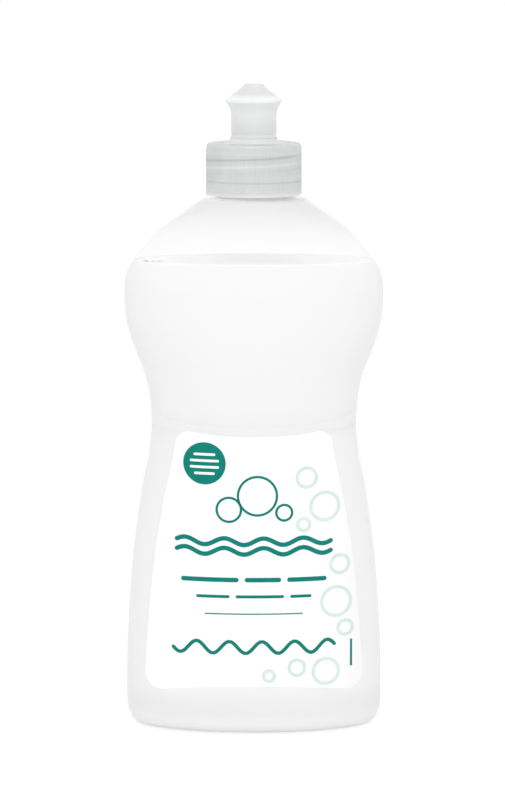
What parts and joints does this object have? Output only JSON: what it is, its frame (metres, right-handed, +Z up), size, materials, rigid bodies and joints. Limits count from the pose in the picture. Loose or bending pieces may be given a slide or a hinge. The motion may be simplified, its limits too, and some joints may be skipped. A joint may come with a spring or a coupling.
{
  "type": "hand soap refill bottle",
  "caption": "Clear waisted squeeze bottle of hand wash with a label, a screw cap and a push-pull nozzle.",
  "frame": {"origin": "centre of the base, on the plane the bottle stands on", "axes": "+Z up along the neck's axis, front label towards -Y, wide side along X"},
  "size_m": [0.0878, 0.0548, 0.2154],
  "materials": {
    "clear_bottle": "gloss",
    "hand_wash": "gloss",
    "label_film": "satin",
    "seal_foam": "matte",
    "natural_plastic": "satin",
    "milky_plastic": "satin"
  },
  "bodies": {
    "filled_bottle": {"bottle": "clear_bottle", "hand_wash": "hand_wash", "front_label": "label_film", "back_label": "label_film"},
    "seal": {"sealing_ring": "seal_foam"},
    "cap": {"screw_cap": "natural_plastic"},
    "nozzle": {"pull_nozzle": "milky_plastic"}
  },
  "joints": [
    {"name": "cap_rise", "type": "slide", "parent": "filled_bottle", "child": "seal", "axis": [0, 0, 1], "range_m": [0, 0.0192]},
    {"name": "cap_turn", "type": "hinge", "parent": "seal", "child": "cap", "pos_m": [0, 0, 0.186], "axis": [0, 0, 1], "range_deg": [0, 1620]},
    {"name": "nozzle_pull", "type": "slide", "parent": "cap", "child": "nozzle", "axis": [0, 0, 1], "range_m": [0, 0.0055]}
  ],
  "couplings": [
    {"joint": "cap_rise", "follows": "cap_turn", "m_per_rad": 0.00067323}
  ]
}
